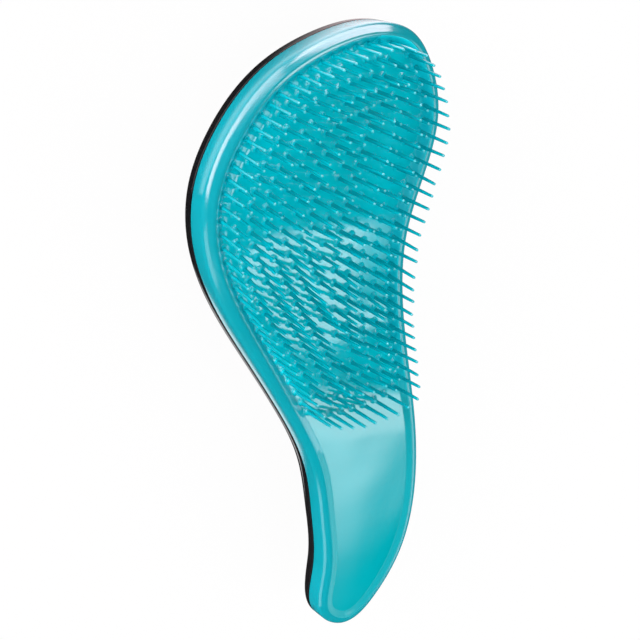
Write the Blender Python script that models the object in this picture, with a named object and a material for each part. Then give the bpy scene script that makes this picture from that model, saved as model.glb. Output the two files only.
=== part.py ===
"""A comma-shaped detangling brush for pets, lying on its back with the bristles up.

Every size is in millimetres; the meshes are made in metres. The head points to +Y, the handle to -Y.
A teal front shell holds a recessed plate with moulded bristles, and clicks into a black back shell.
"""

import math

import bmesh
import bpy
import numpy as np
from mathutils import Vector
from mathutils.geometry import delaunay_2d_cdt

MM = 0.001

# Plan outline, clockwise from the left of the handle, over the head and down the right side
OUTLINE = (
    (7.4, -75.0),
    (5.7, -58.0),
    (2.1, -41.8),
    (-7.6, -23.5),
    (-19.7, -5.8),
    (-30.6, 10.6),
    (-38.1, 28.0),
    (-39.1, 45.4),
    (-33.2, 62.0),
    (-19.7, 79.0),
    (-1.0, 89.6),
    (13.8, 93.0),
    (25.5, 90.4),
    (33.0, 81.0),
    (36.8, 66.0),
    (33.6, 48.3),
    (29.2, 30.6),
    (29.6, 11.8),
    (34.2, -12.8),
    (39.1, -42.4),
    (36.3, -69.8),
    (28.4, -84.2),
    (16.1, -92.8),
    (8.3, -88.9),
)
SPAN_POINTS = 5

# Heights over the table
RIM_TOP = 21.5
HEAD_SIDE = 9.8
HANDLE_SIDE = 7.8
SWEEP = -0.3
SWEEP_PEAK = 45.0
SWEEP_LENGTH = 250.0
NECK_TOP = 12.0
NECK_END = -32.0

# Front shell
RIM_WIDTH = 3.4
SHOULDER_WIDTH = 2.5
SHOULDER_HEIGHT = 4.4
SHOULDER_STEPS = 5
INNER_ROUND = 0.9
EDGE_ROUND = 0.5
HEAD_RECESS = 3.8
HANDLE_RECESS = 0.7
FLOOR = 2.0

# Fit between the pieces
FIT = 0.3
LIP_DEPTH = 3.4
LIP_WALL = 1.6
SNAP = 0.8
SNAP_HEIGHT = 1.6
SNAP_DROP = 0.9

# Back shell
WALL = 2.2
HEAD_POWER = 2.8
HANDLE_POWER = 2.3
BACK_STEPS = 9
LAST_RING = math.radians(82.0)
BELLY = 0.5
HANDLE_LIFT = 6.5
LIFT_POWER = 1.3
LIFT_START = -5.0
CORE_SHARE = 0.72
SPINE_MID = 9.0
SPINE_SWING = 13.5
SPINE_LOW = 32.0
SPINE_HALF = 98.0

# Bristle plate
PLATE = 1.6
CROWN = 2.2
CROWN_AT = (-3.0, 38.0)
CROWN_SPREAD = (32.0, 46.0)
SHEET_GRID = 8.0

# Bristles
FIELD_END = -19.5
FIELD_SLANT = 0.15
FIELD_ROUND = 6.3
FIRST_ROW = 1.9
ROW_SPACING = 4.75
PITCH = 3.95
LEAST_GAP = 2.8
ROUND_OFF = 0.2
LONG_BRISTLE = 14.0
SHORT_BRISTLE = 10.5
BRISTLE_LEAN = math.radians(5.0)
ROOT_WIDTH = 1.2
TIP_WIDTH = 0.9
WALK_POINTS = 24
ALIGN_FROM = (29.0, 5.0)
ALIGN_SLOPE = math.radians(-19.0)


def closed_spline(anchors, per_span):
    """Points of a closed cubic through the anchors, smooth to its second derivative."""
    anchors = np.array(anchors)
    count = len(anchors)
    ahead = np.roll(anchors, -1, axis=0)
    span = np.linalg.norm(ahead - anchors, axis=1)
    matrix = np.zeros((count, count))
    right = np.zeros((count, 2))
    for i in range(count):
        before, after = span[i - 1], span[i]
        matrix[i, i - 1] += after
        matrix[i, i] += 2 * (before + after)
        matrix[i, (i + 1) % count] += before
        back_slope = (anchors[i] - anchors[i - 1]) / before
        fore_slope = (ahead[i] - anchors[i]) / after
        right[i] = 3 * (after * back_slope + before * fore_slope)
    slope = np.linalg.solve(matrix, right)
    points = []
    for i in range(count):
        for t in np.arange(per_span) / per_span:
            start = (2 * t**3 - 3 * t**2 + 1) * anchors[i] + (t**3 - 2 * t**2 + t) * span[i] * slope[i]
            j = (i + 1) % count
            end = (3 * t**2 - 2 * t**3) * anchors[j] + (t**3 - t**2) * span[i] * slope[j]
            points.append(start + end)
    return np.array(points)


def inset(points, distance):
    """The points of a clockwise outline, each moved inwards."""
    along = np.roll(points, -1, axis=0) - np.roll(points, 1, axis=0)
    inward = np.stack([along[:, 1], -along[:, 0]], axis=1)
    return points + distance * inward / np.linalg.norm(inward, axis=1)[:, None]


def sweep(y):
    """The long wave of the brush in side view: the rim is lowest in the middle of the head."""
    return SWEEP * math.cos(2 * math.pi * (y - SWEEP_PEAK) / SWEEP_LENGTH)


def crest(x, y):
    return RIM_TOP + sweep(y)


def head_share(y):
    """Runs smoothly from 0 in the handle to 1 in the head, through the neck."""
    t = min(max((y - NECK_END) / (NECK_TOP - NECK_END), 0.0), 1.0)
    return t * t * (3 - 2 * t)


def parting(x, y):
    return crest(x, y) - HANDLE_SIDE - (HEAD_SIDE - HANDLE_SIDE) * head_share(y)


def plate_seat(x, y):
    """The plate's top without its crown: deep in the head and nearly level with the rim in the handle."""
    return crest(x, y) - HANDLE_RECESS - (HEAD_RECESS - HANDLE_RECESS) * head_share(y)


def plate_underside(x, y):
    return plate_seat(x, y) - PLATE


def floor_top(x, y):
    return plate_underside(x, y) - FIT


def floor_underside(x, y):
    return floor_top(x, y) - FLOOR


def panel(x, y):
    """The surface that the bristles stand on, with a soft crown in the middle of the head."""
    across = (x - CROWN_AT[0]) / CROWN_SPREAD[0]
    along = (y - CROWN_AT[1]) / CROWN_SPREAD[1]
    return plate_seat(x, y) + CROWN * math.exp(-(across**2) - along**2)


def bristle_aim(x, y):
    """Square to the panel but for a slight lean towards the handle."""
    step = 0.5
    slope_x = (panel(x + step, y) - panel(x - step, y)) / (2 * step)
    slope_y = (panel(x, y + step) - panel(x, y - step)) / (2 * step)
    return Vector((-slope_x, -slope_y - math.tan(BRISTLE_LEAN), 1.0)).normalized()


def shifted(height, rise):
    return lambda x, y: height(x, y) + rise


def ring(points, height):
    """One closed loop of corners: a plan outline at the height that the function gives."""
    return [Vector((x, y, height(x, y))) for x, y in points]


def add_ring(mesh, corners):
    return [mesh.verts.new(corner) for corner in corners]


def join_rings(mesh, rings):
    """Quads between each ring and the next. The first ring is the lowest on the outside."""
    for lower, upper in zip(rings, rings[1:]):
        for i in range(len(lower)):
            j = (i + 1) % len(lower)
            mesh.faces.new((lower[j], lower[i], upper[i], upper[j]))


def grid_inside(outline, spacing):
    """Points of a square grid that lie well inside a plan outline. Every outline uses the same grid."""
    low, high = np.ceil(outline.min(axis=0) / spacing), outline.max(axis=0) / spacing
    inside = []
    for x in np.arange(low[0], high[0]) * spacing:
        for y in np.arange(low[1], high[1]) * spacing:
            if contains(outline, x, y) and nearest(outline, x, y) > spacing / 3:
                inside.append((x, y))
    return inside


def contains(outline, x, y):
    """Whether a plan outline goes round the point."""
    x0, y0 = outline[:, 0], outline[:, 1]
    x1, y1 = np.roll(x0, -1), np.roll(y0, -1)
    crosses = (y0 > y) != (y1 > y)
    where = x0 + (y - y0) / np.where(y1 == y0, 1.0, y1 - y0) * (x1 - x0)
    return bool(np.count_nonzero(crosses & (where > x)) % 2)


def nearest(outline, x, y):
    return np.hypot(outline[:, 0] - x, outline[:, 1] - y).min()


def add_sheet(mesh, edge, height, faces_up, patches=()):
    """Triangles that fill a ring of corners, over a grid of inner points or round the given patches."""
    outline = np.array([corner.co.xy for corner in edge])
    plan = [Vector(corner.co.xy) for corner in edge]
    inner = [Vector(corner) for patch in patches for corner in patch]
    taken = np.array(inner) if inner else outline
    spacing = SHEET_GRID
    for x, y in grid_inside(outline, spacing):
        if nearest(taken, x, y) > spacing / 2:
            inner.append(Vector((x, y)))
    loops = [list(range(len(edge)))[::-1]]
    for k, patch in enumerate(patches):
        first = len(edge) + k * len(patch)
        loops.append(list(range(first, first + len(patch))))
    made, _, faces, sources, _, owners = delaunay_2d_cdt(plan + inner, [], loops, 1, 1e-6)
    corners = {}
    for k, source in enumerate(sources):
        if source and source[0] < len(edge):
            corners[k] = edge[source[0]]
        else:
            corners[k] = mesh.verts.new((*made[k], height(*made[k])))
    for face, owner in zip(faces, owners):
        if max(owner) == 0:
            turn = face if faces_up else face[::-1]
            mesh.faces.new([corners[k] for k in turn])
    by_source = {source: corners[k] for k, found in enumerate(sources) for source in found}
    return [[by_source[k] for k in loop] for loop in loops[1:]]


def make_object(name, mesh, material):
    """A mesh object in metres from a mesh in millimetres."""
    bmesh.ops.scale(mesh, vec=(MM, MM, MM), verts=mesh.verts)
    data = bpy.data.meshes.new(name)
    mesh.to_mesh(data)
    mesh.free()
    data.materials.append(material)
    piece = bpy.data.objects.new(name, data)
    bpy.context.scene.collection.objects.link(piece)
    return piece


def plastic(name, colour, roughness):
    material = bpy.data.materials.new(name)
    material.use_nodes = True
    shader = material.node_tree.nodes["Principled BSDF"]
    shader.inputs["Base Color"].default_value = (*colour, 1.0)
    shader.inputs["Roughness"].default_value = roughness
    shader.inputs["Metallic"].default_value = 0.0
    return material


def snap_profile(face, reach):
    """Insets and drops of the bead that clicks the shells together, from its top to its bottom."""
    return (
        (face, SNAP_DROP),
        (face - reach, SNAP_DROP + 0.35 * SNAP_HEIGHT),
        (face - reach, SNAP_DROP + 0.65 * SNAP_HEIGHT),
        (face, SNAP_DROP + SNAP_HEIGHT),
    )


def front_profile():
    """Insets and heights round the outside of the front shell, from its lip up and over the rim."""
    lip_face = WALL + FIT
    joint = shifted(parting, FIT)
    profile = [
        (lip_face + LIP_WALL, floor_underside),
        (lip_face + LIP_WALL, shifted(parting, -LIP_DEPTH)),
        (lip_face, shifted(parting, -LIP_DEPTH)),
    ]
    for face, drop in snap_profile(lip_face, SNAP)[::-1]:
        profile.append((face, shifted(parting, -drop)))
    profile.append((lip_face, joint))
    profile.append((EDGE_ROUND, joint))
    profile.append((0.15 * EDGE_ROUND, shifted(joint, 0.4 * EDGE_ROUND)))
    profile.append((0.0, shifted(joint, 1.4 * EDGE_ROUND)))
    for step in range(SHOULDER_STEPS + 1):
        angle = math.pi / 2 * step / SHOULDER_STEPS
        across = SHOULDER_WIDTH * (1 - math.cos(angle))
        drop = SHOULDER_HEIGHT * (1 - math.sin(angle))
        profile.append((across, shifted(crest, -drop)))
    profile.append((RIM_WIDTH - 0.4 * INNER_ROUND, shifted(crest, -0.25 * INNER_ROUND)))
    profile.append((RIM_WIDTH, shifted(crest, -INNER_ROUND)))
    profile.append((RIM_WIDTH, floor_top))
    return profile


def make_front_shell(outline, material):
    mesh = bmesh.new()
    profile = front_profile()
    rings = [add_ring(mesh, ring(inset(outline, distance), height)) for distance, height in profile]
    join_rings(mesh, rings)
    add_sheet(mesh, rings[0], floor_underside, faces_up=False)
    add_sheet(mesh, rings[-1], floor_top, faces_up=True)
    return make_object("front_shell", mesh, material)


def spine_x(y):
    """The middle line of the comma shape."""
    return SPINE_MID - SPINE_SWING * math.cos(math.pi * (y - SPINE_LOW) / SPINE_HALF)


def core_of(point):
    """The place on the middle line that an outline point runs in to under the back shell."""
    y = CORE_SHARE * point[1]
    return np.array((spine_x(y), y))


def back_bottom(y):
    """How high the unflattened underside of the back shell lies: it sinks a little under the table."""
    past = max(0.0, (LIFT_START - y) / (LIFT_START - min(point[1] for point in OUTLINE)))
    return HANDLE_LIFT * past**LIFT_POWER - BELLY


def back_underside(x, y):
    return max(back_bottom(y), 0.0)


def dome_rings(outline, top_drop, wall):
    """Rings down the back shell, a rounded box in section, flattened where it meets the table."""
    rings = []
    for step in range(1, BACK_STEPS + 1):
        angle = LAST_RING * step / BACK_STEPS
        corners = []
        for point in outline:
            power = HANDLE_POWER + (HEAD_POWER - HANDLE_POWER) * head_share(point[1])
            share = math.cos(angle) ** (2 / power)
            depth = math.sin(angle) ** (2 / power)
            x, y = core_of(point) + (point - core_of(point)) * share
            top = parting(*point) - top_drop
            z = top - depth * (top - back_bottom(y) - wall)
            corners.append(Vector((x, y, max(z, wall))))
        rings.append(corners)
    return rings


def make_back_shell(outline, material):
    mesh = bmesh.new()
    inner = inset(outline, WALL)
    below_lip = LIP_DEPTH + FIT
    surface = dome_rings(outline, EDGE_ROUND, 0.0)[::-1]
    surface.append(ring(outline, shifted(parting, -EDGE_ROUND)))
    surface.append(ring(inset(outline, EDGE_ROUND), parting))
    surface.append(ring(inner, parting))
    for face, drop in snap_profile(WALL, SNAP):
        surface.append(ring(inset(outline, face), shifted(parting, -drop)))
    surface.append(ring(inner, shifted(parting, -below_lip)))
    surface += dome_rings(inner, below_lip, WALL)
    rings = [add_ring(mesh, corners) for corners in surface]
    join_rings(mesh, rings)
    add_sheet(mesh, rings[0], back_underside, faces_up=False)
    add_sheet(mesh, rings[-1], shifted(back_underside, WALL), faces_up=True)
    return make_object("back_shell", mesh, material)


def field_outline(outline):
    """The edge of the bristled area: the plate's edge round the head, and a rounded end in the neck."""
    edge = inset(outline, RIM_WIDTH + FIT)
    bristled = edge[:, 1] - FIELD_SLANT * edge[:, 0] > FIELD_END
    start = int(np.flatnonzero(bristled & ~np.roll(bristled, 1))[0])
    run = np.roll(edge, -start, axis=0)[: np.count_nonzero(bristled)]
    left, right = run[0], run[-1]
    middle = (left + right) / 2
    half = (right - left) / 2
    turn = []
    for step in range(1, WALK_POINTS):
        angle = math.pi * step / WALK_POINTS
        turn.append(middle + half * math.cos(angle) + np.array((0.0, -FIELD_ROUND * math.sin(angle))))
    return np.vstack([run, turn])


def row_points(field, depth):
    """The bristle roots of one row: evenly spaced along the field's edge moved in by the depth."""
    moved = inset(field, depth)
    whole = [point for point in moved if nearest(field, *point) > depth - ROUND_OFF]
    if len(whole) < 3:
        return []
    path = np.array(whole)
    aim = np.array((math.cos(ALIGN_SLOPE), math.sin(ALIGN_SLOPE)))
    away = path - np.array(ALIGN_FROM)
    off_line = np.abs(away[:, 0] * aim[1] - away[:, 1] * aim[0])
    middle = path.mean(axis=0)
    off_line[(path - middle) @ aim < 0] = np.inf
    path = np.roll(path, -int(off_line.argmin()), axis=0)
    path = np.vstack([path, path[:1]])
    length = np.concatenate([[0.0], np.cumsum(np.linalg.norm(np.diff(path, axis=0), axis=1))])
    count = round(length[-1] / PITCH)
    stops = np.arange(count) * length[-1] / max(count, 1)
    return [(np.interp(s, length, path[:, 0]), np.interp(s, length, path[:, 1])) for s in stops]


def bristle_roots(outline):
    """Each bristle's place and length: long and short rows by turns, from the edge to the middle."""
    field = field_outline(outline)
    plate_edge = inset(outline, RIM_WIDTH + FIT)
    roots = []
    depth = FIRST_ROW
    row = 0
    points = row_points(field, depth)
    while points:
        length = SHORT_BRISTLE if row % 2 else LONG_BRISTLE
        for x, y in points:
            clear = all(math.dist((x, y), root[:2]) > LEAST_GAP for root in roots)
            if clear and nearest(plate_edge, x, y) > FIRST_ROW - ROUND_OFF:
                roots.append((x, y, length))
        depth += ROW_SPACING
        row += 1
        points = row_points(field, depth)
    return roots


def base_corners(x, y):
    """The square foot of a bristle, in plan."""
    half = ROOT_WIDTH / 2
    return [(x - half, y - half), (x + half, y - half), (x + half, y + half), (x - half, y + half)]


def raise_bristle(mesh, foot, root):
    """A tapered strand with four sides on its foot in the plate."""
    x, y, length = root
    top = Vector((x, y, panel(x, y))) + bristle_aim(x, y) * length
    taper = TIP_WIDTH / ROOT_WIDTH
    tip = [mesh.verts.new(top + Vector(((c.co.x - x) * taper, (c.co.y - y) * taper, 0.0))) for c in foot]
    for i in range(len(foot)):
        j = (i + 1) % len(foot)
        mesh.faces.new((foot[i], foot[j], tip[j], tip[i]))
    mesh.faces.new(tip)


def make_bristle_plate(outline, dense_outline, material):
    mesh = bmesh.new()
    roots = bristle_roots(dense_outline)
    edge = inset(outline, RIM_WIDTH + FIT)
    lower = add_ring(mesh, ring(edge, plate_underside))
    upper = add_ring(mesh, ring(edge, panel))
    join_rings(mesh, [lower, upper])
    add_sheet(mesh, lower, plate_underside, faces_up=False)
    feet = add_sheet(mesh, upper, panel, True, [base_corners(x, y) for x, y, _ in roots])
    for foot, root in zip(feet, roots):
        raise_bristle(mesh, foot, root)
    print(f"{len(roots)} bristles")
    return make_object("bristle_plate", mesh, material)


def main():
    for old in list(bpy.data.objects):
        bpy.data.objects.remove(old, do_unlink=True)
    outline = closed_spline(OUTLINE, SPAN_POINTS)
    dense_outline = closed_spline(OUTLINE, WALK_POINTS)
    teal = plastic("teal_gloss_plastic", (0.0, 0.42, 0.52), 0.12)
    bristle_teal = plastic("teal_bristle_plastic", (0.0, 0.38, 0.46), 0.2)
    black = plastic("black_gloss_plastic", (0.01, 0.011, 0.013), 0.08)
    make_front_shell(outline, teal)
    make_bristle_plate(outline, dense_outline, bristle_teal)
    make_back_shell(outline, black)


main()
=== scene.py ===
"""The looks of the comma-shaped detangling brush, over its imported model.

The brush's sizes are in millimetres, as in the model's own source, and its meshes are made in
metres. The floor and the lamps are in metres.
"""

import math

import bmesh
import bpy
import numpy as np
from mathutils import Matrix, Vector
from mathutils.geometry import delaunay_2d_cdt


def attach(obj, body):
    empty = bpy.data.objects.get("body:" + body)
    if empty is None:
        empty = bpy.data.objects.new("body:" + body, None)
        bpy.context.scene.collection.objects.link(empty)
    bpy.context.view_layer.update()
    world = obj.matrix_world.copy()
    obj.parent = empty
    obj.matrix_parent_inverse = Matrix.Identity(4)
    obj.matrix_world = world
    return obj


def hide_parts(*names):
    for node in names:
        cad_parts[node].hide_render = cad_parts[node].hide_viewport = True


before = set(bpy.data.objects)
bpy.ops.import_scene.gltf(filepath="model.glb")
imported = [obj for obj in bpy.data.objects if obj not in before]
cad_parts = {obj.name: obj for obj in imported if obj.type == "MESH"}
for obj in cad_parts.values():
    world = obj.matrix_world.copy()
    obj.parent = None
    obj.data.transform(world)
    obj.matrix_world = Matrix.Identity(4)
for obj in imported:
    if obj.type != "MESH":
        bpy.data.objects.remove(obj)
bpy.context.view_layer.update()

MM = 0.001

# Plan outline, clockwise from the left of the handle, over the head and down the right side
OUTLINE = (
    (7.4, -75.0),
    (5.7, -58.0),
    (2.1, -41.8),
    (-7.6, -23.5),
    (-19.7, -5.8),
    (-30.6, 10.6),
    (-38.1, 28.0),
    (-39.1, 45.4),
    (-33.2, 62.0),
    (-19.7, 79.0),
    (-1.0, 89.6),
    (13.8, 93.0),
    (25.5, 90.4),
    (33.0, 81.0),
    (36.8, 66.0),
    (33.6, 48.3),
    (29.2, 30.6),
    (29.6, 11.8),
    (34.2, -12.8),
    (39.1, -42.4),
    (36.3, -69.8),
    (28.4, -84.2),
    (16.1, -92.8),
    (8.3, -88.9),
)
SPAN_POINTS = 14

# Heights over the table
RIM_TOP = 21.5
HEAD_SIDE = 9.8
HANDLE_SIDE = 7.8
SWEEP = -0.3
SWEEP_PEAK = 45.0
SWEEP_LENGTH = 250.0
NECK_TOP = 12.0
NECK_END = -32.0

# The rim in section, each as (handle, head): the wall turns in tightly, then in a wider curve to
# a short slope, rounds over at the crest and runs down to the panel in a soft hollow
TURN_ANGLE = math.radians(60.0)
SLOPE_ANGLE = math.radians(36.0)
TIGHT_RADIUS = (1.0, 2.4)
WIDE_RADIUS = (2.6, 3.6)
CREST_RADIUS = (1.7, 2.0)
CREST_AT = (2.5, 3.5)
HOLLOW_END = (4.6, 6.0)
ARC_STEPS = (5, 10, 8)
HOLLOW_STEPS = 18
ROUND_STEPS = 4
JOINT_GAP = 0.3
EDGE_ROUND = 0.5
BACK_EDGE_ROUND = 0.2
HEAD_RECESS = 3.8
HANDLE_RECESS = 0.7

# Panel, with a crown in the head and a fillet that rises towards the rim on the head's left and
# top. The fade says how far right of the spine the fillet starts, and over what width it grows.
CROWN = 2.2
CROWN_AT = (-3.0, 38.0)
CROWN_SPREAD = (32.0, 46.0)
FILLET_RISE = 0.85
FILLET_WIDTH = 4.5
FILLET_FADE = (4.0, 12.0)

# The panel's mesh: its grid, how far the grid stays from the edge, what the fill keeps and how near
# two points are the same, and the step that slopes are measured with
SHEET_GRID = 1.2
SHEET_MARGIN = 0.6 * SHEET_GRID
KEEP_INSIDE = 1
SAME_POINT = 1e-6
SLOPE_STEP = 0.05

# The rim's hollow is glossy on the left of the spine from here up to the head's end, and satin
# elsewhere
GLOSS_FROM = -34.0

# The spine, the middle line of the comma shape
SPINE_MID = 9.0
SPINE_SWING = 13.5
SPINE_LOW = 32.0
SPINE_HALF = 98.0

# Back shell
HEAD_POWER = 2.8
HANDLE_POWER = 2.3
DOME_STEPS = 26
LAST_RING = math.radians(86.0)
BELLY = 0.5
HANDLE_LIFT = 6.5
LIFT_POWER = 1.3
LIFT_START = -5.0
CORE_SHARE = 0.72
LEDGE = 2.2

# Layout of the bristles: the field that they fill, their rows, and the line that a row starts on
PLATE_INSET = 3.7
FIELD_END = -19.5
FIELD_SLANT = 0.15
FIELD_ROUND = 6.3
FIRST_ROW = 1.9
ROW_SPACING = 4.75
PITCH = 3.95
LEAST_GAP = 2.8
ROUND_OFF = 0.2
WALK_POINTS = 24
ALIGN_FROM = (29.0, 5.0)
ALIGN_SLOPE = math.radians(-19.0)

# Bristles, with the heights of a foot's rings, the shares of its taper and the turns of its tip
LONG_BRISTLE = 14.0
SHORT_BRISTLE = 10.5
BRISTLE_LEAN = math.radians(5.0)
ROOT_RADIUS = 0.6
TIP_RADIUS = 0.42
FLARE = 0.8
FLARE_HEIGHT = 1.2
FLARE_POWER = 2.5
FOOT_HEIGHTS = (-0.4, 0.0, 0.15, 0.35, 0.65, FLARE_HEIGHT)
TAPER_SHARES = (0.35, 0.65, 1.0)
TIP_TURNS = tuple(math.radians(angle) for angle in (30, 55, 75))
BRISTLE_SIDES = 12

# How far each bristle strays: the spread of its tilt, and of its tip's bend
SEED = 7
TILT_SPREAD = 0.012
BEND_SPREAD = 0.12

# Camera, from the photo: where it stands from the point it looks at, and how it is turned
LOOK_AT = (3.924, 4.775, 14.0)
CAMERA_TILT = math.radians(34.606)
CAMERA_BEARING = math.radians(27.165)
CAMERA_ROLL = math.radians(27.02)
CAMERA_DISTANCE = 487.337
PIXELS_PER_MM = 3.373
IMAGE_SIZE = 640
SENSOR = 36.0
CLIP_START = 10.0

# Finishes: pigment from dark to light, roughness from smooth to rough, refraction, the strength of
# the fine orange peel and of the slow ripples, and the share of the colour that is left on the
# handle. The teal pieces are one plastic; their pigments differ as painted light, lifted where
# shade falls in the recess and between the bristles, and lighter at the tips
FINISHES = {
    "teal_gloss_plastic": {
        "pigment": ((0.0, 0.34, 0.405), (0.0, 0.355, 0.425)),
        "roughness": (0.14, 0.18),
        "ior": 1.65,
        "peel": 0.04,
    },
    # The hollow's pigment is lighter than the rim's: painted light that makes up for the shade in the
    # recess
    "teal_hollow_plastic": {
        "pigment": ((0.0, 0.50, 0.60), (0.0, 0.52, 0.625)),
        "roughness": (0.12, 0.15),
        "ior": 1.75,
        "peel": 0.04,
        "handle_share": 0.80,
    },
    # The satin hollow's pigment is lighter still: painted light that makes up for the shade in the
    # recess and by the bristles
    "teal_satin_plastic": {
        "pigment": ((0.0, 0.69, 0.79), (0.0, 0.72, 0.825)),
        "roughness": (0.28, 0.34),
        "ior": 1.33,
        "peel": 0.04,
        "handle_share": 0.56,
    },
    # The pad's pigment is lifted well above the strands': painted light that makes up for the shade the
    # bristles cast on it
    "teal_pad_plastic": {
        "pigment": ((0.0, 0.70, 0.80), (0.0, 0.74, 0.85)),
        "roughness": (0.02, 0.045),
        "ior": 1.65,
        "peel": 0.05,
        "ripple": 0.15,
        "handle_share": 0.56,
    },
    "teal_bristle_plastic": {
        "pigment": ((0.0, 0.40, 0.47), (0.0, 0.43, 0.50)),
        "roughness": (0.08, 0.12),
        "ior": 1.6,
    },
    # The tips' pigment is lighter than the strands': a painted highlight, standing in for the glints on
    # the round tips
    "teal_tip_glint_plastic": {
        "pigment": ((0.04, 0.53, 0.60), (0.05, 0.56, 0.63)),
        "roughness": (0.05, 0.08),
        "ior": 1.6,
    },
    "black_gloss_plastic": {
        "pigment": ((0.004, 0.005, 0.006), (0.008, 0.009, 0.01)),
        "roughness": (0.04, 0.08),
        "ior": 1.35,
        "peel": 0.05,
    },
}

# Where along the brush the colour fades towards the handle: painted light, as the head's colour is
# lifted against the shade of its bristles
HANDLE_FADE = (FIELD_END - 6.0, FIELD_END + 12.0)

# Glowing strips on the left, painted reflections of pale floor that only the gloss shows: the span
# along the brush that each one lies beside, how near and far it is from the outline, and the height,
# the length of a tapered end and the radiance of both
STRIPS = {
    "neck_strip": ((-60.0, 20.0), (0.6, 3.2)),
    "side_strip": ((42.0, 88.0), (8.0, 60.0)),
}
STRIP_HEIGHT = 0.3
STRIP_TAPER = 16.0
STRIP_RADIANCE = 1.3

# From here on, places and sizes are in metres. Noise has its waves per metre, the detail of its
# patterns and the span of its usual values.
PIGMENT_WAVES = 45.0
GLOSS_WAVES = 160.0
PEEL_WAVES = 900.0
PEEL_DEPTH = 0.0001
RIPPLE_WAVES = 40.0
RIPPLE_DEPTH = 0.001
PATTERN_DETAIL = 3.0
RELIEF_DETAIL = 1.0
NOISE_SPAN = (0.3, 0.7)

# Floor and backdrop. Reflections show the floor white past two soft lines, each as its place and
# its softness, and dim elsewhere. The glow is the share of the white that needs no light.
FLOOR_RADIUS = 1.6
FLOOR_SIDES = 64
FLOOR_DROP = 0.0002
BACKDROP_CURVE = 0.4
BACKDROP_TOP = 0.9
CURVE_STEPS = 8
PALE_FLOOR = (0.88, 0.88, 0.88, 1.0)
# The floor as the gloss sees it away from the bright lines: painted shade in the reflection, though the
# floor is pale
DIM_FLOOR = (0.04, 0.04, 0.04, 1.0)
BRIGHT_BEHIND = (0.1, 0.018)
BRIGHT_LEFT = (-0.042, 0.016)
GLOW_SHARE = 0.96

# Blender's power for a lamp, as a multiple of its radiance and the area of its face
LAMP_POWER = 4

# Lamps: azimuth and elevation in degrees, distance, width, height and radiance
LAMPS = {
    "window": (77, 17, 1.0, 0.80, 0.62, 8.4),
    "back_left": (123, 20, 1.0, 0.54, 0.80, 4.6),
    "low_left": (158, 19, 1.0, 0.80, 0.80, 6.6),
    "handle_side": (212, 20, 1.0, 0.5, 0.6, 1.5),
    "low_right": (-45, 15, 1.0, 0.35, 0.3, 6.5),
    "right": (-10, 27, 1.1, 1.1, 0.70, 1.7),
    "overhead": (50, 63, 1.0, 0.45, 0.35, 5.5),
}

# Radiance of the even light from all round
SKY_LEVEL = 0.6

# Lamps with a warm colour, lamps that light only the gloss, and lamps that the gloss doesn't show
WARM = (1.0, 0.74, 0.78)
WARM_LAMPS = ("window", "back_left", "low_left")
GLOSS_LAMPS = ("window", "back_left", "overhead")
MATTE_LAMPS = ("low_right",)

# The panel's lamp, where a level panel mirrors the camera: distance, width, height and radiance
PANEL_LAMP_AIM = Vector((0.505, -0.259, 0.823))
PANEL_LAMP = (0.9, 0.5, 0.5, 3.55)

# Flags: each keeps the light on one side of a soft line over the lamp's face, and holds the
# direction towards the light, the line's place along it from the middle, and the line's softness
LOW_LEFT_FLAGS = (
    ((0.0, -1.0), -0.22, 0.12),
    ((1.0, 0.0), -0.35, 0.05),
    ((-1.0, 0.0), -0.35, 0.05),
)
PANEL_FLAGS = (
    ((-0.876, -0.483), -0.0755, 0.012),
    ((0.83, -0.56), -0.165, 0.012),
    ((0.0, 1.0), -0.09, 0.035),
    ((0.0, -1.0), -0.17, 0.01),
    ((1.0, 0.0), -0.14, 0.11),
)

# Card on the floor behind the head
CARD_SIZE = 0.5
CARD_PLACE = Vector((0.030, 0.335, 0.001))
CARD_RADIANCE = 3.3
CARD_FLAGS = (
    ((0.0, -1.0), -0.234, 0.013),
    ((1.0, 0.0), -0.045, 0.025),
    ((-1.0, 0.0), -0.006, 0.012),
)


def closed_spline(anchors, per_span):
    """Points of a closed cubic through the anchors, smooth to its second derivative."""
    anchors = np.array(anchors)
    count = len(anchors)
    ahead = np.roll(anchors, -1, axis=0)
    span = np.linalg.norm(ahead - anchors, axis=1)
    matrix = np.zeros((count, count))
    right = np.zeros((count, 2))
    for i in range(count):
        before, after = span[i - 1], span[i]
        matrix[i, i - 1] += after
        matrix[i, i] += 2 * (before + after)
        matrix[i, (i + 1) % count] += before
        back_slope = (anchors[i] - anchors[i - 1]) / before
        fore_slope = (ahead[i] - anchors[i]) / after
        right[i] = 3 * (after * back_slope + before * fore_slope)
    slope = np.linalg.solve(matrix, right)
    points = []
    for i in range(count):
        for t in np.arange(per_span) / per_span:
            start = (2 * t**3 - 3 * t**2 + 1) * anchors[i] + (t**3 - 2 * t**2 + t) * span[i] * slope[i]
            j = (i + 1) % count
            end = (3 * t**2 - 2 * t**3) * anchors[j] + (t**3 - t**2) * span[i] * slope[j]
            points.append(start + end)
    return np.array(points)


def inset(points, distance):
    """The points of a clockwise outline, each moved inwards."""
    along = np.roll(points, -1, axis=0) - np.roll(points, 1, axis=0)
    inward = np.stack([along[:, 1], -along[:, 0]], axis=1)
    inward /= np.linalg.norm(inward, axis=1)[:, None]
    return points + inward * np.reshape(distance, (-1, 1))


def ease(t):
    """Rises smoothly from 0 to 1 while t does, and stays level outside."""
    t = min(max(t, 0.0), 1.0)
    return t * t * (3 - 2 * t)


def crest(x, y):
    """The height of the rim's top, which sweeps a little along the brush."""
    return RIM_TOP + SWEEP * math.cos(2 * math.pi * (y - SWEEP_PEAK) / SWEEP_LENGTH)


def head_share(y):
    """Runs smoothly from 0 in the handle to 1 in the head, through the neck."""
    return ease((y - NECK_END) / (NECK_TOP - NECK_END))


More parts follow.
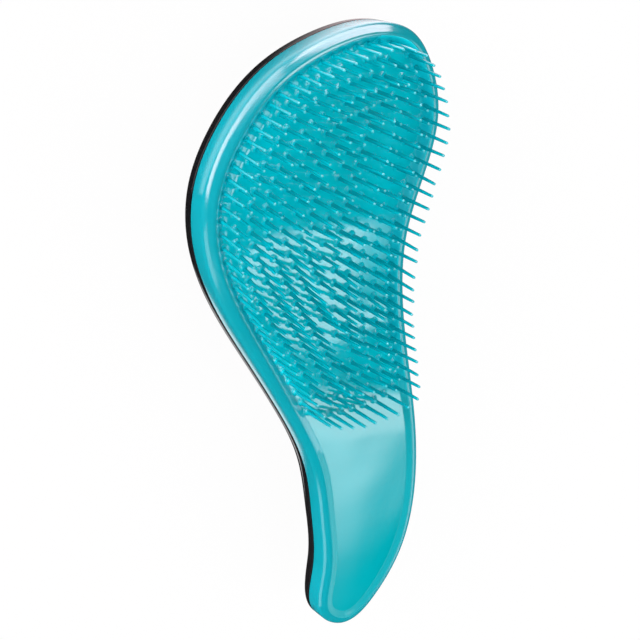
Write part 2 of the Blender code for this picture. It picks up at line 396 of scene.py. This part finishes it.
def parting(x, y):
    """The height of the seam between the front and the back."""
    return crest(x, y) - HANDLE_SIDE - (HEAD_SIDE - HANDLE_SIDE) * head_share(y)


def recess(y):
    """How far the panel lies under the rim's top."""
    return HANDLE_RECESS + (HEAD_RECESS - HANDLE_RECESS) * head_share(y)


def panel(x, y):
    """The surface that the bristles stand on, with a soft crown in the middle of the head."""
    across = (x - CROWN_AT[0]) / CROWN_SPREAD[0]
    along = (y - CROWN_AT[1]) / CROWN_SPREAD[1]
    return crest(x, y) - recess(y) + CROWN * math.exp(-(across**2) - along**2)


def slope_of(height, x, y):
    """How steep a height is along x and along y."""
    rise_x = height(x + SLOPE_STEP, y) - height(x - SLOPE_STEP, y)
    rise_y = height(x, y + SLOPE_STEP) - height(x, y - SLOPE_STEP)
    return rise_x / (2 * SLOPE_STEP), rise_y / (2 * SLOPE_STEP)


def edge_distance(outline, x, y):
    """How far a point is from a plan outline's sides."""
    side = np.roll(outline, -1, axis=0) - outline
    off = np.array((x, y)) - outline
    share = np.clip((off * side).sum(axis=1) / (side**2).sum(axis=1), 0.0, 1.0)
    return np.hypot(*(off - share[:, None] * side).T).min()


def fillet(x, y, away=0.0):
    """How far the panel rises towards the rim, on the head's left and top, this far from its edge."""
    left = ease((spine_x(y) + FILLET_FADE[0] - x) / FILLET_FADE[1])
    return FILLET_RISE * left * head_share(y) * max(1 - away / FILLET_WIDTH, 0.0) ** 2


def soft_panel(outline):
    """The panel's height with its fillet, as a function of the place."""

    def height(x, y):
        away = edge_distance(outline, x, y) - HOLLOW_END[1]
        return panel(x, y) + fillet(x, y, max(away, 0.0))

    return height


def shifted(height, rise):
    """The same height, moved up."""
    return lambda x, y: height(x, y) + rise


def ring(points, height):
    """Plan points at the height that the function gives."""
    return [(x, y, height(x, y)) for x, y in points]


def nearest(outline, x, y):
    """How far a place is from the nearest point of an outline."""
    return np.hypot(outline[:, 0] - x, outline[:, 1] - y).min()


def rings_to_mesh(name, rings, caps=(False, False)):
    """A smooth tube of quads through equal rings, the first one lowest on the outside."""
    count = len(rings[0])
    points = [corner for corners in rings for corner in corners]
    faces = []
    for k in range(len(rings) - 1):
        for i in range(count):
            j = (i + 1) % count
            faces.append((k * count + j, k * count + i, (k + 1) * count + i, (k + 1) * count + j))
    if caps[0]:
        faces.append(tuple(range(count)))
    if caps[1]:
        last = (len(rings) - 1) * count
        faces.append(tuple(last + i for i in range(count))[::-1])
    return mesh_piece(name, points, faces)


def mesh_piece(name, points, faces):
    """A smooth object from points in millimetres."""
    data = bpy.data.meshes.new(name)
    data.from_pydata((np.array(points, float) * MM).tolist(), [], faces)
    data.shade_smooth()
    piece = bpy.data.objects.new(name, data)
    bpy.context.scene.collection.objects.link(piece)
    return piece


def hollow_height(x, y, t):
    """From the rim's crest, at t = 0, in a soft S down to the panel, at t = 1."""
    return crest(x, y) + (panel(x, y) + fillet(x, y) - crest(x, y)) * ease(t)


def by_place(outline, sizes):
    """A size for each point of the outline, from the handle's to the head's."""
    share = np.array([head_share(y) for y in outline[:, 1]])
    return sizes[0] + (sizes[1] - sizes[0]) * share


def rim_section(outline):
    """The rim's rings above the wall, each as its distance in from the outline and its drop."""
    crest_at = by_place(outline, CREST_AT)
    tight, wide, top = (by_place(outline, r) for r in (TIGHT_RADIUS, WIDE_RADIUS, CREST_RADIUS))
    arcs = (
        (tight, math.pi / 2, TURN_ANGLE),
        (wide, TURN_ANGLE, SLOPE_ANGLE),
        (top, SLOPE_ANGLE, 0.0),
    )
    straight = crest_at - sum(r * (math.sin(start) - math.sin(end)) for r, start, end in arcs)
    across, up = 0.0 * crest_at, 0.0 * crest_at
    section = [(across, up)]
    for (radius, start, end), steps in zip(arcs, ARC_STEPS):
        if end == 0.0:
            across, up = across + straight, up + straight * math.tan(SLOPE_ANGLE)
            section.append((across, up))
        for step in range(1, steps + 1):
            angle = start + (end - start) * step / steps
            section.append(
                (
                    across + radius * (math.sin(start) - math.sin(angle)),
                    up + radius * (math.cos(angle) - math.cos(start)),
                )
            )
        across, up = section[-1]
    return [(inward, up - rise) for inward, rise in section]


def lowered(outline, drop):
    """Heights under the crest, one for each point of the outline."""
    return [crest(x, y) - d for (x, y), d in zip(outline, drop)]


def front_rings(outline):
    """From under the front's edge, round it, up the wall, over the rim and down its hollow."""
    joint = shifted(parting, JOINT_GAP)
    rings = [
        ring(inset(outline, LEDGE), joint),
        ring(inset(outline, EDGE_ROUND), joint),
    ]
    for step in range(1, ROUND_STEPS + 1):
        angle = math.pi / 2 * step / ROUND_STEPS
        rise = EDGE_ROUND * (1 - math.cos(angle))
        rings.append(ring(inset(outline, EDGE_ROUND * (1 - math.sin(angle))), shifted(joint, rise)))
    for across, drop in rim_section(outline):
        plan = inset(outline, across)
        rings.append([(x, y, z) for (x, y), z in zip(plan, lowered(outline, drop))])
    start, end = by_place(outline, CREST_AT), by_place(outline, HOLLOW_END)
    for step in range(1, HOLLOW_STEPS + 1):
        t = step / HOLLOW_STEPS
        plan = inset(outline, start + (end - start) * t)
        rings.append(ring(plan, lambda x, y: hollow_height(x, y, t)))
    return rings


def make_front(outline, materials):
    """The front shell, in materials for its rim, its glossy hollow and its satin hollow."""
    piece = rings_to_mesh("front_shell_dressed", front_rings(outline))
    for material in materials:
        piece.data.materials.append(material)
    for face in piece.data.polygons[-HOLLOW_STEPS * len(outline) :]:
        middle = face.center / MM
        glossy = middle.x < spine_x(middle.y) and middle.y > GLOSS_FROM
        face.material_index = 1 if glossy else 2
    return piece


def contains(outline, x, y):
    """Whether a plan outline goes round the point."""
    x0, y0 = outline[:, 0], outline[:, 1]
    x1, y1 = np.roll(x0, -1), np.roll(y0, -1)
    crosses = (y0 > y) != (y1 > y)
    where = x0 + (y - y0) / np.where(y1 == y0, 1.0, y1 - y0) * (x1 - x0)
    return bool(np.count_nonzero(crosses & (where > x)) % 2)


def sheet(edge, height):
    """Points and triangles that fill a plan outline at the height that the function gives."""
    low, high = edge.min(axis=0), edge.max(axis=0)
    inner = []
    for x in np.arange(low[0], high[0], SHEET_GRID):
        for y in np.arange(low[1], high[1], SHEET_GRID):
            if nearest(edge, x, y) > SHEET_MARGIN and contains(edge, x, y):
                inner.append(Vector((x, y)))
    plan = [Vector(point) for point in edge]
    loop = [list(range(len(edge)))[::-1]]
    made, _, faces, *_ = delaunay_2d_cdt(plan + inner, [], loop, KEEP_INSIDE, SAME_POINT)
    points = [(x, y, height(x, y)) for x, y in made]
    return points, [tuple(face) for face in faces]


def field_outline(outline):
    """The edge of the bristled area: the plate's edge round the head, and a rounded end in the neck."""
    edge = inset(outline, PLATE_INSET)
    bristled = edge[:, 1] - FIELD_SLANT * edge[:, 0] > FIELD_END
    start = int(np.flatnonzero(bristled & ~np.roll(bristled, 1))[0])
    run = np.roll(edge, -start, axis=0)[: np.count_nonzero(bristled)]
    left, right = run[0], run[-1]
    middle = (left + right) / 2
    half = (right - left) / 2
    turn = []
    for step in range(1, WALK_POINTS):
        angle = math.pi * step / WALK_POINTS
        turn.append(middle + half * math.cos(angle) + np.array((0.0, -FIELD_ROUND * math.sin(angle))))
    return np.vstack([run, turn])


def row_points(field, depth):
    """The bristle roots of one row: evenly spaced along the field's edge moved in by the depth."""
    moved = inset(field, depth)
    whole = [point for point in moved if nearest(field, *point) > depth - ROUND_OFF]
    if len(whole) < 3:
        return []
    path = np.array(whole)
    aim = np.array((math.cos(ALIGN_SLOPE), math.sin(ALIGN_SLOPE)))
    away = path - np.array(ALIGN_FROM)
    off_line = np.abs(away[:, 0] * aim[1] - away[:, 1] * aim[0])
    middle = path.mean(axis=0)
    off_line[(path - middle) @ aim < 0] = np.inf
    path = np.roll(path, -int(off_line.argmin()), axis=0)
    path = np.vstack([path, path[:1]])
    length = np.concatenate([[0.0], np.cumsum(np.linalg.norm(np.diff(path, axis=0), axis=1))])
    count = round(length[-1] / PITCH)
    stops = np.arange(count) * length[-1] / max(count, 1)
    return [(np.interp(s, length, path[:, 0]), np.interp(s, length, path[:, 1])) for s in stops]


def bristle_roots(outline):
    """Each bristle's place and length: long and short rows by turns, from the edge to the middle."""
    field = field_outline(outline)
    plate_edge = inset(outline, PLATE_INSET)
    roots = []
    depth = FIRST_ROW
    row = 0
    points = row_points(field, depth)
    while points:
        length = SHORT_BRISTLE if row % 2 else LONG_BRISTLE
        for x, y in points:
            clear = all(math.dist((x, y), root[:2]) > LEAST_GAP for root in roots)
            if clear and nearest(plate_edge, x, y) > FIRST_ROW - ROUND_OFF:
                roots.append((x, y, length))
        depth += ROW_SPACING
        row += 1
        points = row_points(field, depth)
    return roots


def bristle_profile(length):
    """Radius and height of a bristle's rings: a flared foot, a taper and a round tip."""
    rows = []
    for height in FOOT_HEIGHTS:
        share = min(max(1 - height / FLARE_HEIGHT, 0.0), 1.0)
        rows.append((ROOT_RADIUS + FLARE * share**FLARE_POWER, height))
    for share in TAPER_SHARES:
        height = FLARE_HEIGHT + share * (length - TIP_RADIUS - FLARE_HEIGHT)
        rows.append((ROOT_RADIUS + (TIP_RADIUS - ROOT_RADIUS) * share, height))
    for turn in TIP_TURNS:
        rows.append((TIP_RADIUS * math.cos(turn), length - TIP_RADIUS * (1 - math.sin(turn))))
    return rows


def raise_bristle(root, height_of, wobble, points, faces):
    """Adds one bristle's points and faces to the lists."""
    x, y, length = root
    tilt_x, tilt_y, bend_x, bend_y = wobble
    slope_x, slope_y = slope_of(panel, x, y)
    up = Vector((tilt_x - slope_x, tilt_y - slope_y - math.tan(BRISTLE_LEAN), 1.0)).normalized()
    side = up.cross(Vector((0, 1, 0))).normalized()
    front = up.cross(side)
    foot = Vector((x, y, height_of(x, y)))
    length -= foot.z - panel(x, y)
    first = len(points)
    for radius, height in bristle_profile(length):
        bend = (height / length) ** 2 if height > 0 else 0.0
        centre = foot + up * height + Vector((bend_x, bend_y, 0.0)) * bend
        for k in range(BRISTLE_SIDES):
            angle = 2 * math.pi * k / BRISTLE_SIDES
            points.append(centre + radius * (math.cos(angle) * side + math.sin(angle) * front))
    rows = (len(points) - first) // BRISTLE_SIDES
    for row in range(rows - 1):
        for k in range(BRISTLE_SIDES):
            low = first + row * BRISTLE_SIDES
            j = (k + 1) % BRISTLE_SIDES
            faces.append((low + k, low + j, low + j + BRISTLE_SIDES, low + k + BRISTLE_SIDES))
    faces.append(tuple(range(len(points) - BRISTLE_SIDES, len(points))))


def make_plate(outline, layout_outline, materials):
    """The panel with its bristles, in materials for the panel, the strands and their tips."""
    edge = inset(outline, by_place(outline, HOLLOW_END))
    height_of = soft_panel(outline)
    points, faces = sheet(edge, height_of)
    sheet_count = len(points)
    sheet_faces = len(faces)
    chance = np.random.default_rng(SEED)
    for root in bristle_roots(layout_outline):
        wobble = (*chance.normal(0, TILT_SPREAD, 2), *chance.normal(0, BEND_SPREAD, 2))
        raise_bristle(root, height_of, wobble, points, faces)
    piece = mesh_piece("bristle_plate_dressed", points, faces)
    normals = [vertex.normal.copy() for vertex in piece.data.vertices]
    for k in range(sheet_count):
        slope_x, slope_y = slope_of(height_of, points[k][0], points[k][1])
        normals[k] = Vector((-slope_x, -slope_y, 1.0)).normalized()
    piece.data.normals_split_custom_set_from_vertices(normals)
    for material in materials:
        piece.data.materials.append(material)
    strand_start = (len(FOOT_HEIGHTS) - 1) * BRISTLE_SIDES
    tip_start = strand_start + len(TAPER_SHARES) * BRISTLE_SIDES
    bristle_faces = tip_start + len(TIP_TURNS) * BRISTLE_SIDES + 1
    for face in piece.data.polygons[sheet_faces:]:
        place = (face.index - sheet_faces) % bristle_faces
        if place >= strand_start:
            face.material_index = 2 if place >= tip_start else 1
    return piece


def spine_x(y):
    """The middle line of the comma shape."""
    return SPINE_MID - SPINE_SWING * math.cos(math.pi * (y - SPINE_LOW) / SPINE_HALF)


def core_of(point):
    """The place on the spine that the back's dome shrinks towards, from a point of the outline."""
    y = CORE_SHARE * point[1]
    return np.array((spine_x(y), y))


def back_bottom(y):
    """The depth of the back's dome, which lies under the table in the head and lifts to the handle."""
    past = max(0.0, (LIFT_START - y) / (LIFT_START - min(point[1] for point in OUTLINE)))
    return HANDLE_LIFT * past**LIFT_POWER - BELLY


def back_rings(outline):
    """From the flat under the head up the outside of the back shell, and in over its edge."""
    rings = []
    for step in range(DOME_STEPS, -1, -1):
        angle = LAST_RING * step / DOME_STEPS
        corners = []
        for point in outline:
            power = HANDLE_POWER + (HEAD_POWER - HANDLE_POWER) * head_share(point[1])
            share = math.cos(angle) ** (2 / power)
            depth = math.sin(angle) ** (2 / power)
            core = core_of(point)
            x, y = core + (point - core) * share
            top = parting(*point) - BACK_EDGE_ROUND
            corners.append((x, y, max(top - depth * (top - back_bottom(y)), 0.0)))
        rings.append(corners)
    for step in range(1, ROUND_STEPS + 1):
        angle = math.pi / 2 * step / ROUND_STEPS
        drop = BACK_EDGE_ROUND * (1 - math.sin(angle))
        plan = inset(outline, BACK_EDGE_ROUND * (1 - math.cos(angle)))
        rings.append(ring(plan, shifted(parting, -drop)))
    rings.append(ring(inset(outline, LEDGE), parting))
    return rings


def make_back(outline, material):
    """The back shell, closed underneath by its flat."""
    piece = rings_to_mesh("back_shell_dressed", back_rings(outline), caps=(True, False))
    piece.data.materials.append(material)
    return piece


def node(tree, kind, **settings):
    """A new shader node with its settings."""
    made = tree.nodes.new(kind)
    for name, value in settings.items():
        setattr(made, name, value)
    return made


def math_of(tree, operation, first, second):
    """A sum, product or the like of two sockets or numbers."""
    made = node(tree, "ShaderNodeMath", operation=operation)
    for value, socket in zip((first, second), made.inputs):
        if isinstance(value, float):
            socket.default_value = value
        else:
            tree.links.new(value, socket)
    return made.outputs[0]


def noise_of(tree, scale, detail=PATTERN_DETAIL):
    """A noise pattern over the object, with the scale in waves per metre."""
    place = node(tree, "ShaderNodeTexCoord")
    made = node(tree, "ShaderNodeTexNoise")
    made.inputs["Scale"].default_value = scale
    made.inputs["Detail"].default_value = detail
    tree.links.new(place.outputs["Object"], made.inputs["Vector"])
    return made.outputs["Fac"]


def remap(tree, value, low, high):
    """Stretches the usual span of a noise to run from low to high."""
    made = node(tree, "ShaderNodeMapRange")
    made.inputs["From Min"].default_value = NOISE_SPAN[0]
    made.inputs["From Max"].default_value = NOISE_SPAN[1]
    made.inputs["To Min"].default_value = low
    made.inputs["To Max"].default_value = high
    tree.links.new(value, made.inputs["Value"])
    return made.outputs["Result"]


def soft_edge(tree, place, across, start, softness):
    """Rises from 0 to 1 over a line; across points from the dark side to the light one."""
    dot = node(tree, "ShaderNodeVectorMath", operation="DOT_PRODUCT")
    dot.inputs[1].default_value = (*across, 0.0)
    tree.links.new(place, dot.inputs[0])
    made = node(tree, "ShaderNodeMapRange", interpolation_type="SMOOTHSTEP")
    made.inputs["From Min"].default_value = start - softness
    made.inputs["From Max"].default_value = start + softness
    tree.links.new(dot.outputs["Value"], made.inputs["Value"])
    return made.outputs["Result"]


def lifted_under_bristles(tree, color, handle_share):
    """The colour, darker towards the handle, where no bristles keep the light off the panel: painted
    light that makes up for the bristles' shade in the head.
    """
    place = node(tree, "ShaderNodeTexCoord")
    split = node(tree, "ShaderNodeSeparateXYZ")
    tree.links.new(place.outputs["Object"], split.inputs["Vector"])
    fade = node(tree, "ShaderNodeMapRange", interpolation_type="SMOOTHSTEP")
    fade.inputs["From Min"].default_value = HANDLE_FADE[0] * MM
    fade.inputs["From Max"].default_value = HANDLE_FADE[1] * MM
    fade.inputs["To Min"].default_value = handle_share
    tree.links.new(split.outputs["Y"], fade.inputs["Value"])
    dimmed = node(tree, "ShaderNodeVectorMath", operation="SCALE")
    tree.links.new(color, dimmed.inputs[0])
    tree.links.new(fade.outputs["Result"], dimmed.inputs["Scale"])
    return dimmed.outputs["Vector"]


def bump_of(tree, scale, strength, depth):
    """A fine relief from noise, with its depth in metres."""
    made = node(tree, "ShaderNodeBump")
    made.inputs["Strength"].default_value = strength
    made.inputs["Distance"].default_value = depth
    tree.links.new(noise_of(tree, scale, RELIEF_DETAIL), made.inputs["Height"])
    return made


def plastic(name, pigment, roughness, ior, peel=0.0, ripple=0.0, handle_share=1.0):
    """Moulded plastic: uneven pigment, a slightly uneven gloss, fine orange peel and slow ripples."""
    material = bpy.data.materials.new(name)
    material.use_nodes = True
    tree = material.node_tree
    shader = tree.nodes["Principled BSDF"]
    shader.inputs["IOR"].default_value = ior
    blend = node(tree, "ShaderNodeMix", data_type="RGBA")
    blend.inputs["A"].default_value = (*pigment[0], 1.0)
    blend.inputs["B"].default_value = (*pigment[1], 1.0)
    tree.links.new(remap(tree, noise_of(tree, PIGMENT_WAVES), 0.0, 1.0), blend.inputs["Factor"])
    color = blend.outputs["Result"]
    if handle_share < 1.0:
        color = lifted_under_bristles(tree, color, handle_share)
    tree.links.new(color, shader.inputs["Base Color"])
    tree.links.new(remap(tree, noise_of(tree, GLOSS_WAVES), *roughness), shader.inputs["Roughness"])
    fine = bump_of(tree, PEEL_WAVES, peel, PEEL_DEPTH)
    slow = bump_of(tree, RIPPLE_WAVES, ripple, RIPPLE_DEPTH)
    tree.links.new(fine.outputs["Normal"], slow.inputs["Normal"])
    tree.links.new(slow.outputs["Normal"], shader.inputs["Normal"])
    return material


def floor_material():
    """A pale floor with the brush's shadow, white to the eye.

    Reflections show it white behind the head and dim elsewhere, as the photo's gloss does.
    """
    material = bpy.data.materials.new("pale_floor")
    material.use_nodes = True
    tree = material.node_tree
    tree.nodes.clear()
    out = node(tree, "ShaderNodeOutputMaterial")
    path = node(tree, "ShaderNodeLightPath").outputs
    place = node(tree, "ShaderNodeNewGeometry").outputs["Position"]
    behind = soft_edge(tree, place, (0.0, 1.0), *BRIGHT_BEHIND)
    left = soft_edge(tree, place, (-1.0, 0.0), *BRIGHT_LEFT)
    # Painted reflection: to the gloss the floor is dim, and white only past two soft lines, while it is
    # pale all over
    mirrored = math_of(tree, "MAXIMUM", path["Is Glossy Ray"], path["Is Transmission Ray"])
    white = math_of(tree, "MULTIPLY", mirrored, math_of(tree, "MULTIPLY", behind, left))
    tint = node(tree, "ShaderNodeMix", data_type="RGBA")
    tint.inputs["A"].default_value = PALE_FLOOR
    tint.inputs["B"].default_value = DIM_FLOOR
    tree.links.new(math_of(tree, "SUBTRACT", mirrored, white), tint.inputs["Factor"])
    matte = node(tree, "ShaderNodeBsdfDiffuse")
    tree.links.new(tint.outputs["Result"], matte.inputs["Color"])
    glow = node(tree, "ShaderNodeEmission")
    glow.inputs["Strength"].default_value = 1.0
    seen = math_of(tree, "MAXIMUM", path["Is Camera Ray"], white)
    mix = node(tree, "ShaderNodeMixShader")
    tree.links.new(math_of(tree, "MULTIPLY", seen, GLOW_SHARE), mix.inputs[0])
    tree.links.new(matte.outputs[0], mix.inputs[1])
    tree.links.new(glow.outputs[0], mix.inputs[2])
    tree.links.new(mix.outputs[0], out.inputs["Surface"])
    return material


def make_floor():
    """A wide floor that turns up into a low backdrop all round."""
    profile = [(FLOOR_RADIUS, 0.0)]
    for step in range(1, CURVE_STEPS + 1):
        angle = math.pi / 2 * step / CURVE_STEPS
        radius = FLOOR_RADIUS + BACKDROP_CURVE * math.sin(angle)
        profile.append((radius, BACKDROP_CURVE * (1 - math.cos(angle))))
    profile.append((FLOOR_RADIUS + BACKDROP_CURVE, BACKDROP_TOP))
    mesh = bmesh.new()
    angles = np.arange(FLOOR_SIDES) * math.tau / FLOOR_SIDES
    rings = []
    for radius, height in profile:
        corners = [(radius * math.cos(a), radius * math.sin(a), height) for a in angles]
        rings.append([mesh.verts.new(corner) for corner in corners])
    mesh.faces.new(rings[0])
    for low, high in zip(rings, rings[1:]):
        for i in range(FLOOR_SIDES):
            j = (i + 1) % FLOOR_SIDES
            mesh.faces.new((low[j], low[i], high[i], high[j]))
    data = bpy.data.meshes.new("floor")
    mesh.to_mesh(data)
    mesh.free()
    data.shade_smooth()
    data.materials.append(floor_material())
    floor = bpy.data.objects.new("floor", data)
    floor.location.z = -FLOOR_DROP
    bpy.context.scene.collection.objects.link(floor)


def make_camera():
    """The photo's camera, from its tilt, bearing, roll, distance and scale."""
    tilt, bearing, roll = CAMERA_TILT, CAMERA_BEARING, CAMERA_ROLL
    back = Vector(
        (-math.sin(tilt) * math.cos(bearing), math.sin(tilt) * math.sin(bearing), math.cos(tilt))
    )
    lean = (Vector((0, 0, 1)) - back * back.z).normalized()
    side = back.cross(lean)
    right = math.cos(roll) * lean + math.sin(roll) * side
    up = math.cos(roll) * side - math.sin(roll) * lean
    data = bpy.data.cameras.new("camera")
    data.sensor_width = SENSOR
    data.lens = PIXELS_PER_MM * CAMERA_DISTANCE / IMAGE_SIZE * SENSOR
    data.clip_start = CLIP_START * MM
    camera = bpy.data.objects.new("camera", data)
    turn = Matrix((right, up, back)).transposed().to_4x4()
    place = (Vector(LOOK_AT) + back * CAMERA_DISTANCE) * MM
    camera.matrix_world = Matrix.Translation(place) @ turn
    bpy.context.scene.collection.objects.link(camera)
    bpy.context.scene.camera = camera


def direction(azimuth, elevation):
    """A unit vector from degrees round from +X towards +Y, and degrees up."""
    azimuth, elevation = math.radians(azimuth), math.radians(elevation)
    level = math.cos(elevation)
    return Vector((level * math.cos(azimuth), level * math.sin(azimuth), math.sin(elevation)))


def softbox(name, aim, distance, width, height, radiance):
    """A rectangular lamp that faces the brush; a radiance of 1 shows as plain white."""
    data = bpy.data.lights.new(name, "AREA")
    data.shape = "RECTANGLE"
    data.size = width
    data.size_y = height
    data.energy = radiance * LAMP_POWER * width * height
    lamp = bpy.data.objects.new(name, data)
    aim = aim.normalized()
    facing = aim.to_track_quat("Z", "Y").to_matrix().to_4x4()
    lamp.matrix_world = Matrix.Translation(aim * distance) @ facing
    bpy.context.scene.collection.objects.link(lamp)
    return lamp


def flag_off(lamp, edges):
    """Cuts a square lamp's face off along soft lines, given in metres from its middle."""
    side = lamp.data.size
    lamp.data.use_nodes = True
    tree = lamp.data.node_tree
    place = node(tree, "ShaderNodeNewGeometry").outputs["Parametric"]
    light = None
    for across, start, softness in edges:
        start_on_face = 0.5 * sum(across) + start / side
        edge = soft_edge(tree, place, across, start_on_face, softness / side)
        light = math_of(tree, "MULTIPLY", light, edge) if light else edge
    tree.links.new(light, tree.nodes["Emission"].inputs["Strength"])


def floor_card():
    """A bright card on the floor behind the head, which only its gloss shows."""
    data = bpy.data.lights.new("floor_card", "AREA")
    data.shape = "SQUARE"
    data.size = CARD_SIZE
    data.energy = CARD_RADIANCE * LAMP_POWER * CARD_SIZE**2
    data.color = WARM
    card = bpy.data.objects.new("floor_card", data)
    card.matrix_world = Matrix.Translation(CARD_PLACE) @ Matrix.Rotation(math.pi, 4, "X")
    card.visible_camera = False
    card.visible_diffuse = False
    bpy.context.scene.collection.objects.link(card)
    flag_off(card, CARD_FLAGS)


def glowing(name, radiance):
    """A plain white glow of its own, for a strip that only reflections show: a painted reflection."""
    material = bpy.data.materials.new(name)
    material.use_nodes = True
    tree = material.node_tree
    glow = node(tree, "ShaderNodeEmission")
    glow.inputs["Strength"].default_value = radiance
    tree.links.new(glow.outputs[0], tree.nodes["Material Output"].inputs["Surface"])
    return material


def reflection_strip(outline, name, span, reach):
    """A glowing strip along the left side, tapered to its ends, which only the gloss shows: a painted
    reflection of pale floor.
    """
    near, far = inset(outline, -reach[0]), inset(outline, -reach[1])
    low, high = span
    along = [k for k, (x, y) in enumerate(outline) if low < y < high and x < spine_x(y)]
    points = [(*near[k], STRIP_HEIGHT) for k in along]
    for k in along:
        y = outline[k][1]
        share = min(1.0, (y - low) / STRIP_TAPER, (high - y) / STRIP_TAPER)
        points.append((*(near[k] + (far[k] - near[k]) * share), STRIP_HEIGHT))
    count = len(along)
    faces = [(k, k + 1, k + 1 + count, k + count) for k in range(count - 1)]
    strip = mesh_piece(name, points, faces)
    strip.data.materials.append(glowing(name, STRIP_RADIANCE))
    strip.visible_camera = False
    strip.visible_diffuse = False
    strip.visible_shadow = False


def make_sky():
    """Even light from all round, which the gloss doesn't show, and white to the eye."""
    world = bpy.data.worlds.new("studio")
    bpy.context.scene.world = world
    world.use_nodes = True
    tree = world.node_tree
    sky = tree.nodes["Background"].inputs
    sky["Color"].default_value = (1, 1, 1, 1)
    path = node(tree, "ShaderNodeLightPath").outputs
    tree.links.new(math_of(tree, "MAXIMUM", path["Is Camera Ray"], SKY_LEVEL), sky["Strength"])
    world.cycles_visibility.glossy = False


def make_light(outline):
    """The lamps, the card on the floor, the glowing strips that paint reflections, and the sky."""
    lamps = {}
    for name, (azimuth, elevation, *measures) in LAMPS.items():
        lamps[name] = softbox(name, direction(azimuth, elevation), *measures)
    for name in WARM_LAMPS:
        lamps[name].data.color = WARM
    for name in GLOSS_LAMPS:
        lamps[name].visible_diffuse = False
    for name in MATTE_LAMPS:
        lamps[name].visible_glossy = False
    flag_off(lamps["low_left"], LOW_LEFT_FLAGS)
    flag_off(softbox("panel_light", PANEL_LAMP_AIM, *PANEL_LAMP), PANEL_FLAGS)
    floor_card()
    make_sky()
    for name, (span, reach) in STRIPS.items():
        reflection_strip(outline, name, span, reach)


def make_pieces(outline):
    """Each visible piece, with the CAD node that it replaces and the slot of its finish."""
    finish = {name: plastic(name, **look) for name, look in FINISHES.items()}
    rim = [finish[name] for name in ("teal_gloss_plastic", "teal_hollow_plastic", "teal_satin_plastic")]
    plate = [finish[name] for name in ("teal_pad_plastic", "teal_bristle_plastic", "teal_tip_glint_plastic")]
    layout_outline = closed_spline(OUTLINE, WALK_POINTS)
    return (
        (make_front(outline, rim), "front_shell", "front"),
        (make_plate(outline, layout_outline, plate), "bristle_plate", "bristles"),
        (make_back(outline, finish["black_gloss_plastic"]), "back_shell", "back"),
    )


def main():
    """The camera, the pieces and the stage."""
    make_camera()
    outline = closed_spline(OUTLINE, SPAN_POINTS)
    for piece, cad_node, slot in make_pieces(outline):
        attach(piece, "root")
        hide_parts(cad_node)
    make_floor()
    make_light(outline)
    bpy.context.scene.view_settings.view_transform = "Standard"


main()
